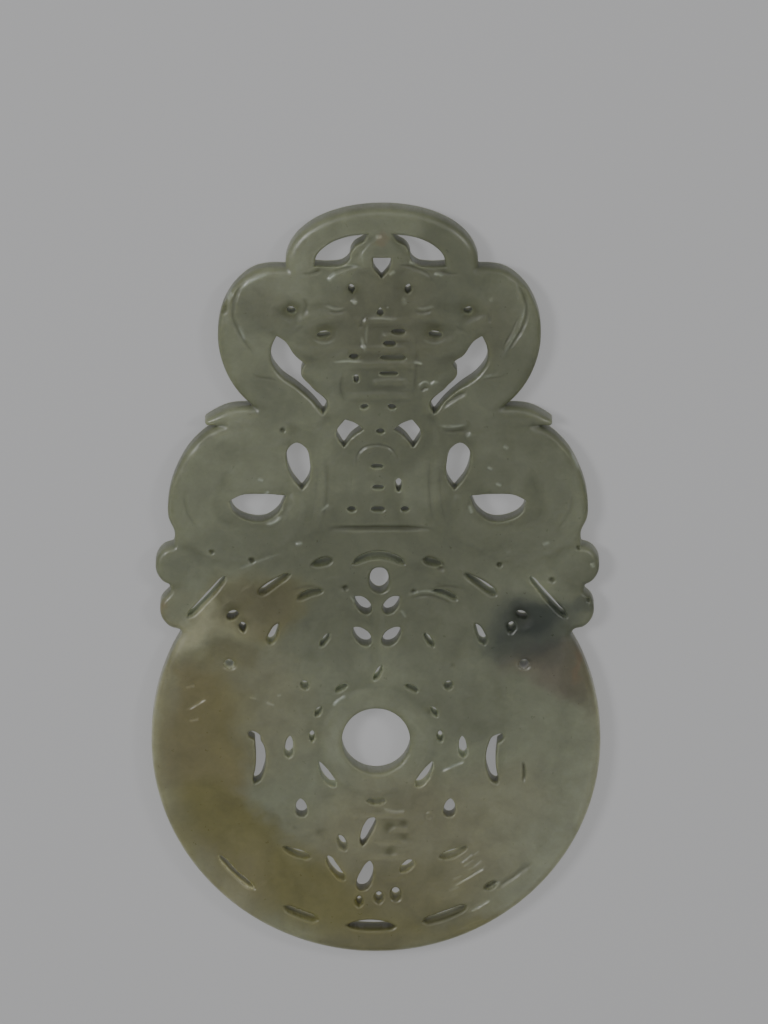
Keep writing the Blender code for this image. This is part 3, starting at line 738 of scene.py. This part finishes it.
# Colours of the stone, in linear light
GREY_GREEN = (0.240, 0.256, 0.176)
DIM_GREEN = (0.168, 0.180, 0.120)
PALE = (0.310, 0.325, 0.232)
WARM = (0.262, 0.254, 0.158)
HONEY = (0.228, 0.206, 0.100)
OCHRE = (0.205, 0.190, 0.070)
MILKY = (0.440, 0.430, 0.285)
SAND = (0.330, 0.305, 0.200)
SHADE = (0.150, 0.142, 0.086)
INK = (0.043, 0.055, 0.045)
RUST = (0.280, 0.165, 0.080)
ROSE = (0.180, 0.162, 0.118)

# Clouds of colour: colour, middle, radii, heading in degrees, strength, and how far in that is
# reached, from 0 at the edge to 1 in the middle
CLOUDS = (
    # The first and third clouds, over the crest and its upper right, are partly the stone's tone
    # and partly painted shade on the side away from the key light
    (DIM_GREEN, (12.0, 62.0), (27.0, 32.0), 0, 0.95, 0.6),
    (DIM_GREEN, (2.0, 72.0), (17.0, 18.0), 0, 0.75, 0.7),
    (DIM_GREEN, (14.5, 87.5), (11.0, 9.5), -30, 0.95, 0.5),
    (DIM_GREEN, (-17.0, 61.0), (9.0, 8.0), 0, 0.45, 0.7),
    (DIM_GREEN, (-17.0, 76.0), (8.0, 6.0), 0, 0.55, 0.7),
    (DIM_GREEN, (-34.0, 29.5), (6.0, 6.0), 0, 0.5, 0.7),
    (DIM_GREEN, (24.0, 34.0), (9.0, 6.0), 0, 0.5, 0.7),
    (DIM_GREEN, (10.0, 17.5), (11.0, 7.0), 0, 0.6, 0.7),
    (DIM_GREEN, (24.0, 45.0), (20.0, 17.0), 0, 0.5, 0.7),
    (DIM_GREEN, (2.0, 30.0), (28.0, 17.0), 0, 0.95, 0.5),
    (DIM_GREEN, (-20.0, 35.0), (16.0, 8.0), 10, 0.5, 0.7),
    (DIM_GREEN, (36.0, 29.0), (7.0, 9.0), 0, 0.8, 0.6),
    (DIM_GREEN, (16.0, 8.0), (16.0, 9.0), 10, 0.6, 0.8),
    (DIM_GREEN, (-12.0, 19.0), (11.0, 8.0), 0, 0.5, 0.7),
    # Partly the stone's tone and partly painted light, on the crest's upper left, which faces the
    # key light
    (PALE, (-17.0, 85.0), (9.0, 12.0), -35, 0.5, 0.8),
    (PALE, (-2.0, -3.0), (15.0, 14.0), 0, 0.5, 0.7),
    (PALE, (26.0, -17.0), (20.0, 18.0), 40, 0.65, 0.7),
    (WARM, (4.0, -20.0), (27.0, 18.0), 0, 0.8, 0.6),
    (WARM, (-22.0, 6.0), (14.0, 18.0), 0, 0.6, 0.7),
    (WARM, (-35.0, 23.0), (5.0, 6.0), 0, 0.7, 0.7),
    (HONEY, (-31.0, -3.0), (10.0, 26.0), 10, 1.0, 0.45),
    (OCHRE, (-23.5, -17.0), (17.0, 8.0), -48, 0.95, 0.55),
    (OCHRE, (-12.0, -26.5), (18.0, 9.0), -20, 0.9, 0.55),
    (OCHRE, (5.0, -27.0), (15.0, 9.0), 5, 0.5, 0.8),
    (OCHRE, (-20.5, 23.5), (11.0, 7.0), 20, 0.7, 0.7),
    (OCHRE, (-26.5, 14.5), (6.0, 6.0), 0, 0.55, 0.8),
)
# Bands of the disc's rim, where more light comes through: width, strength
RIM_BAND = (6, 0.55)
THIN_BAND = (1.8, 0.35)
EDGE_BAND = (0.6, 0.8)
EDGE_LIGHT = (0.62, 0.62, 0.48)
# The bands reach this far past the edge, and fade out up the disc between these heights
BAND_OVER = 0.5
BAND_FULL = 4
BAND_TOP = 18
# Clouds laid over the bands
LATE_CLOUDS = (
    (SHADE, (0.0, 74.0), (15.0, 13.0), 0, 0.3, 0.7),
    (GREY_GREEN, (21.0, 49.0), (8.0, 8.0), 0, 0.35, 0.7),
    (GREY_GREEN, (8.7, 45.0), (3.5, 9.0), 0, 0.7, 0.7),
    (SHADE, (21.0, 74.0), (7.0, 9.0), 0, 0.22, 0.7),
    (SHADE, (-17.5, 77.5), (6.0, 5.0), 0, 0.2, 0.7),
    (SHADE, (-25.0, 75.5), (5.0, 5.0), 0, 0.2, 0.7),
    (GREY_GREEN, (17.0, 59.0), (7.0, 5.0), 30, 0.4, 0.7),
    (PALE, (-24.0, 57.0), (6.0, 4.0), 20, 0.5, 0.7),
    (PALE, (-8.0, 0.0), (4.0, 8.0), 0, 0.45, 0.7),
    (PALE, (-35.5, 8.0), (3.0, 7.0), 0, 0.5, 0.7),
    (PALE, (31.5, -17.0), (8.0, 8.0), 40, 0.6, 0.7),
    (SAND, (-29.0, -30.0), (9.0, 18.0), -45, 0.5, 0.8),
    (WARM, (22.0, -9.0), (13.0, 9.0), 0, 0.4, 0.7),
    (SHADE, (-21.0, 24.0), (9.0, 6.0), 10, 0.6, 0.7),
    (SHADE, (-25.0, 15.5), (5.0, 4.0), 0, 0.35, 0.7),
    (SHADE, (3.0, -25.0), (10.0, 6.0), 0, 0.35, 0.7),
    (SHADE, (8.0, -14.5), (6.0, 5.0), 0, 0.2, 0.7),
    (OCHRE, (-25.0, 2.0), (6.5, 11.0), 0, 0.4, 0.7),
    (HONEY, (-35.0, 2.0), (4.0, 13.0), 5, 0.45, 0.7),
    (OCHRE, (-29.5, -19.5), (5.0, 9.0), 40, 0.35, 0.7),
    (SHADE, (12.0, -31.0), (11.0, 4.0), 15, 0.4, 0.7),
    (OCHRE, (16.5, -32.5), (8.0, 4.0), 25, 0.6, 0.7),
    (OCHRE, (2.0, -34.5), (16.0, 6.5), 0, 0.75, 0.7),
    (SHADE, (0.0, -35.0), (14.0, 4.5), 0, 0.4, 0.7),
    (MILKY, (-30.3, 19.2), (6.2, 4.0), 45, 0.75, 0.65),
    (MILKY, (-25.5, 20.4), (5.5, 2.8), 10, 0.3, 0.6),
    (ROSE, (30.5, 12.8), (10.0, 5.5), -15, 0.9, 0.6),
    (SHADE, (34.5, 12.5), (4.5, 5.0), 0, 0.5, 0.7),
    (SHADE, (37.0, 10.0), (3.0, 8.0), 0, 0.45, 0.7),
    (RUST, (34.6, 13.2), (1.2, 2.0), 10, 0.25, 0.7),
    (INK, (27.0, 19.3), (12.5, 8.8), -5, 0.6, 0.65),
    (INK, (26.5, 17.0), (7.0, 5.0), 0, 0.4, 0.65),
    (INK, (27.0, 20.9), (6.0, 4.4), 0, 0.85, 0.65),
    (INK, (34.4, 22.8), (3.6, 3.2), 0, 0.45, 0.65),
    (RUST, (-34.8, 24.6), (2.4, 3.2), 0, 0.4, 0.6),
    (RUST, (19.3, 67.2), (1.0, 1.4), 0, 0.6, 0.6),
    (RUST, (-0.6, 86.9), (1.8, 1.8), 0, 0.25, 0.6),
)


# What the carving does to the colour: grime and painted shade in its depths, painted highlights on
# raised lines and scratches, and painted light on the walls of openings
RECESS = "recess"
RECESS_TINT = (0.6, 0.61, 0.49)
# The painted highlight, and the painted light on the walls of the lit openings
PAINTED_HIGHLIGHT = "painted_highlight"
PAINTED_HIGHLIGHT_TINT = (2.5, 2.6, 3.3)
PAINTED_GLINT = 0.4
LIT = 0.8
# Painted light on the walls of slots and holes
WALL = "wall"
WALL_TINT = (2.6, 2.65, 2.9)
# How much of the painted light the walls of slots, drilled holes and the crest's dark holes take,
# how much of that reaches up to their rims, and how far painted shade covers it there
WALL_SHARES = (0.95, 1.0, 0.5)
RIM_SHARE = 0.3
SHADE_PATCH_COVER = 1.6
# Openings whose walls are painted bright, with no grime or painted shade: middle, reach
LIT_OPENINGS = ((-23.4, -23.2, 5.5), (-24.7, 13.8, 1.6), (24.5, 13.8, 1.6))

# Noise: scale, detail, roughness, and the range that its values are moved to
MOTTLE = (0.22, 4.0, 0.55)
MOTTLE_RANGE = (0.72, 1.28)
GRAIN = (1.7, 4.0, 0.6)
GRAIN_RANGE = (0.9, 1.1)
HAZE = (0.9, 5.0, 0.65)
HAZE_RANGE = (0.2, 0.42)
RIPPLE = (1.3, 3.0, 0.6)
# How the clouds' edges wander: scale, reach
DRIFTS = ((0.07, 14), (0.5, 2.2))
DRIFT_DETAIL = (3.0, 0.5)
GRIME_DULL = 0.35
BUMP_STRENGTH = 0.35
BUMP_DEPTH = 0.03 * MM
IOR = 1.61
GLOW_RADIUS = (1.0, 1.0, 0.7)
GLOW_SCALE = 3 * MM
# The sockets that a mix node uses for colours
MIX_INPUTS = (6, 7)
MIX_OUTPUT = 2


class Tree:
    """A material's nodes, with the links made as each node is added."""

    def __init__(self, name):
        self.material = bpy.data.materials.new(name)
        self.material.use_nodes = True
        self.nodes = self.material.node_tree.nodes

    def link(self, source, target):
        self.material.node_tree.links.new(source, target)

    def fill(self, socket, value):
        """Links a socket where the value is one too, and otherwise sets it."""
        if isinstance(value, bpy.types.NodeSocket):
            self.link(value, socket)
        else:
            socket.default_value = value

    def add(self, kind, settings=None, **inputs):
        """A node with its settings and its inputs, by name or by number after an i."""
        node = self.nodes.new(kind)
        for key, value in (settings or {}).items():
            setattr(node, key, value)
        for key, value in inputs.items():
            numbered = key[0] == "i" and key[1:].isdigit()
            self.fill(node.inputs[int(key[1:]) if numbered else key], value)
        return node

    def maths(self, operation, *values):
        inputs = {f"i{number}": value for number, value in enumerate(values)}
        return self.add("ShaderNodeMath", {"operation": operation}, **inputs).outputs[0]

    def vector(self, operation, **inputs):
        return self.add("ShaderNodeVectorMath", {"operation": operation}, **inputs)

    def ramp(self, value, start, end, height=1):
        """Rises smoothly from 0 at start to this height at end."""
        limits = {"Value": value, "From Min": start, "From Max": end, "To Max": height}
        smooth = {"interpolation_type": "SMOOTHSTEP"}
        return self.add("ShaderNodeMapRange", smooth, **limits).outputs[0]

    def mixed(self, share, *colours):
        """A colour between two, each a socket or a colour."""
        node = self.add("ShaderNodeMix", {"data_type": "RGBA"}, i0=share)
        for number, colour in zip(MIX_INPUTS, colours):
            value = (*colour, 1) if isinstance(colour, tuple) else colour
            self.fill(node.inputs[number], value)
        return node.outputs[MIX_OUTPUT]

    def noise(self, where, scale, detail, roughness):
        sizes = {"Scale": scale, "Detail": detail, "Roughness": roughness}
        return self.add("ShaderNodeTexNoise", Vector=where, **sizes)

    def attribute(self, name):
        return self.add("ShaderNodeAttribute", {"attribute_name": name}).outputs["Fac"]

    def shaded(self, looks):
        """The material, once its shader's inputs are linked or set."""
        inputs = self.nodes["Principled BSDF"].inputs
        for name, value in looks.items():
            self.fill(inputs[name], value)
        return self.material


def cloud_mask(tree, where, middle, radii, heading, strength, core):
    """A soft ellipse on the stone: full inside its core and nothing at its edge."""
    u, v = middle
    place = (u + LEAN * v, v + CENTRE_Y, THICK)
    turn = (0, 0, math.radians(heading))
    local = tree.add("ShaderNodeMapping", {"vector_type": "TEXTURE"}, Vector=where, Location=place,
                     Rotation=turn, Scale=(*radii, max(radii))).outputs[0]
    ball = tree.add("ShaderNodeTexGradient", {"gradient_type": "SPHERICAL"}, Vector=local)
    return tree.ramp(ball.outputs["Fac"], 0, core, strength)


def rim_mask(tree, where, width, strength):
    """The disc's thinner rim over this width, on its lower part."""
    flat = tree.vector("MULTIPLY", i0=where, i1=(1, 1, 0)).outputs[0]
    reach = tree.vector("DISTANCE", i0=flat, i1=(0, CENTRE_Y, 0)).outputs["Value"]
    rim = tree.ramp(reach, DISC_R - width, DISC_R + BAND_OVER, strength)
    height = tree.add("ShaderNodeSeparateXYZ", Vector=where).outputs["Y"]
    low = tree.ramp(height, CENTRE_Y + BAND_TOP, CENTRE_Y + BAND_FULL)
    return tree.maths("MULTIPLY", rim, low)


def offset(tree, where, scale, reach):
    """The place moved by slow noise, so that the clouds' edges wander."""
    wave = tree.noise(where, scale, *DRIFT_DETAIL).outputs["Color"]
    swing = tree.vector("SUBTRACT", i0=wave, i1=(0.5, 0.5, 0.5)).outputs[0]
    return tree.vector("MULTIPLY_ADD", i0=swing, i1=(reach, reach, reach), i2=where).outputs[0]


def scaled(tree, value, low, high):
    """A 0 to 1 value moved to this range."""
    return tree.maths("MULTIPLY_ADD", value, high - low, low)


def stone_colour(tree, where):
    """The clouds of colour with the rim's bands, and the mottle and grain over them."""
    moved = where
    for scale, reach in DRIFTS:
        moved = offset(tree, moved, scale, reach)
    colour = GREY_GREEN
    for tone, *cloud in CLOUDS:
        colour = tree.mixed(cloud_mask(tree, moved, *cloud), colour, tone)
    colour = tree.mixed(rim_mask(tree, where, *RIM_BAND), colour, PALE)
    colour = tree.mixed(rim_mask(tree, where, *THIN_BAND), colour, MILKY)
    for tone, *cloud in LATE_CLOUDS:
        colour = tree.mixed(cloud_mask(tree, moved, *cloud), colour, tone)
    colour = tree.mixed(rim_mask(tree, where, *EDGE_BAND), colour, EDGE_LIGHT)
    mottle = scaled(tree, tree.noise(moved, *MOTTLE).outputs["Fac"], *MOTTLE_RANGE)
    grain = scaled(tree, tree.noise(where, *GRAIN).outputs["Fac"], *GRAIN_RANGE)
    shade = tree.maths("MULTIPLY", mottle, grain)
    return tree.vector("SCALE", Vector=colour, Scale=shade).outputs[0]


def jade_material():
    tree = Tree("jade")
    place = tree.add("ShaderNodeTexCoord").outputs["Object"]
    where = tree.vector("SCALE", Vector=place, Scale=1 / MM).outputs[0]
    # Grime and painted shade in recesses, painted light on the walls of openings, and painted
    # highlights on raised lines and scratches
    recess = tree.attribute(RECESS)
    tint = tree.mixed(recess, (1.0, 1.0, 1.0), RECESS_TINT)
    tint = tree.mixed(tree.attribute(WALL), tint, WALL_TINT)
    tint = tree.mixed(tree.attribute(PAINTED_HIGHLIGHT), tint, PAINTED_HIGHLIGHT_TINT)
    colour = tree.vector("MULTIPLY", i0=stone_colour(tree, where), i1=tint).outputs[0]
    haze = scaled(tree, tree.noise(where, *HAZE).outputs["Fac"], *HAZE_RANGE)
    rough = tree.maths("ADD", haze, tree.maths("MULTIPLY", recess, GRIME_DULL))
    ripple = tree.noise(where, *RIPPLE).outputs["Fac"]
    bump = tree.add("ShaderNodeBump", Strength=BUMP_STRENGTH, Distance=BUMP_DEPTH, Height=ripple)
    return tree.shaded({
        "Base Color": colour,
        "Roughness": rough,
        "Normal": bump.outputs[0],
        "IOR": IOR,
        "Subsurface Weight": 1,
        "Subsurface Radius": GLOW_RADIUS,
        "Subsurface Scale": GLOW_SCALE,
    })


def grid_lines(values, grid):
    """The numbers of the grid lines nearest to these values."""
    return np.clip(np.rint((values - grid[0]) / PITCH).astype(int), 0, len(grid) - 1)


def note_carving(obj, slab):
    """Stores how deep each point lies in the carving, where highlights are painted, and how much
    painted light each wall takes.
    """
    mesh = obj.data
    places = np.empty(3 * len(mesh.vertices))
    mesh.vertices.foreach_get("co", places)
    x, y, z = places.reshape(-1, 3).T / MM
    at = (grid_lines(y, slab.ys), grid_lines(x, slab.xs))
    front = z > MIDDLE_Z
    # Grime and painted shade follow the depth in the carving
    depth = np.where(front, slab.recess[at], 0)
    # Painted highlights on raised lines and scratches
    painted_highlight = np.where(front, PAINTED_GLINT * slab.rubbed[at], 0)
    slots, holes, dark = (gap[at] for gap in slab.gaps[FINE:])
    reach = np.where(front, PITCH / 2, PITCH)
    near = (slots < reach, holes < reach, (dark < reach) & (y - CENTRE_Y > DISC_R))
    # Painted light on the walls of slots and holes, a share of it on their rims, less where
    # painted shade lies
    wall = np.maximum.reduce([share * edge for share, edge in zip(WALL_SHARES, near)])
    rim = RIM_SHARE * np.clip(1 - SHADE_PATCH_COVER * slab.stain[at], 0, 1)
    wall *= np.where(front, rim, 1)
    # These openings' walls take painted light, with no grime or painted shade
    for u, v, radius in LIT_OPENINGS:
        lit = np.hypot(x - u, y - CENTRE_Y - v) < radius
        painted_highlight = np.where(lit & (np.minimum(slots, holes) < PITCH), LIT, painted_highlight)
        depth = np.where(lit, 0, depth)
        wall = np.where(lit, 0, wall)
    for name, values in ((RECESS, depth), (PAINTED_HIGHLIGHT, painted_highlight), (WALL, wall)):
        data = mesh.attributes.new(name, "FLOAT", "POINT").data
        data.foreach_set("value", values.astype(np.float32))


def add_stone():
    slab = Slab()
    shape_faces(slab)
    stone = added(NODE + "_stone", stone_mesh(slab))
    thinned(stone, TRIANGLES)
    note_carving(stone, slab)
    stone.data.shade_smooth()
    stone.data.materials.clear()
    stone.data.materials.append(jade_material())
    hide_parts(NODE)
    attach(stone, "root")


# ---------------------------------------------------------------- the studio

FLOOR_SIZE = 6.0
FLOOR_COLOUR = (0.27, 0.27, 0.28, 1)
FLOOR_ROUGHNESS = 0.7
FLOOR_GLOW = 0.24
WHITE = (1, 1, 1, 1)
WORLD_STRENGTH = 0.2
# Soft boxes: name, direction, distance, width and height, power
LIGHTS = (
    ("key", (-0.62, 0.3, 0.9), 0.9, (0.18, 0.24), 2.4),
    ("top", (0.0, 0.6, 0.85), 0.9, (0.8, 0.08), 0.7),
    ("right", (0.7, 0.4, 0.9), 0.9, (0.09, 0.18), 1.0),
    ("fill", (0.3, -0.6, 1.0), 1.2, (0.9, 0.9), 0.6),
)
VIEW_TILT = math.radians(19)
LENS = 1000
SENSOR = 36
FRAME_HEIGHT = 170.6 * MM
AIM = (1.34 * MM, (CENTRE_Y + 40.6) * MM, THICK * MM)


def add_floor():
    bm = bmesh.new()
    bmesh.ops.create_grid(bm, x_segments=1, y_segments=1, size=FLOOR_SIZE / 2)
    mesh = bpy.data.meshes.new("floor")
    bm.to_mesh(mesh)
    bm.free()
    mesh.materials.append(Tree("floor").shaded({
        "Base Color": FLOOR_COLOUR,
        "Roughness": FLOOR_ROUGHNESS,
        "Emission Color": WHITE,
        "Emission Strength": FLOOR_GLOW,
    }))
    floor = added("floor", mesh)


def add_light(name, direction, distance, size, power):
    """A soft box that faces the pendant: size is its width and its height."""
    data = bpy.data.lights.new(name, "AREA")
    data.shape = "RECTANGLE"
    data.size, data.size_y = size
    data.energy = power
    light = added(name, data)
    light.location = Vector(direction).normalized() * distance
    light.rotation_euler = light.location.to_track_quat("Z", "Y").to_euler()


def add_camera():
    data = bpy.data.cameras.new("camera")
    data.lens = LENS
    data.sensor_width = SENSOR
    distance = FRAME_HEIGHT * LENS / SENSOR
    direction = Vector((0, math.sin(VIEW_TILT), math.cos(VIEW_TILT)))
    camera = added("camera", data)
    camera.location = Vector(AIM) + direction * distance
    camera.rotation_euler = (-VIEW_TILT, 0, 0)
    bpy.context.scene.camera = camera


def add_world():
    world = bpy.data.worlds.new("studio")
    world.use_nodes = True
    background = world.node_tree.nodes["Background"]
    background.inputs["Color"].default_value = WHITE
    background.inputs["Strength"].default_value = WORLD_STRENGTH
    bpy.context.scene.world = world


def add_studio():
    add_floor()
    for light in LIGHTS:
        add_light(*light)
    add_world()
    add_camera()


add_stone()
add_studio()
bpy.context.view_layer.update()
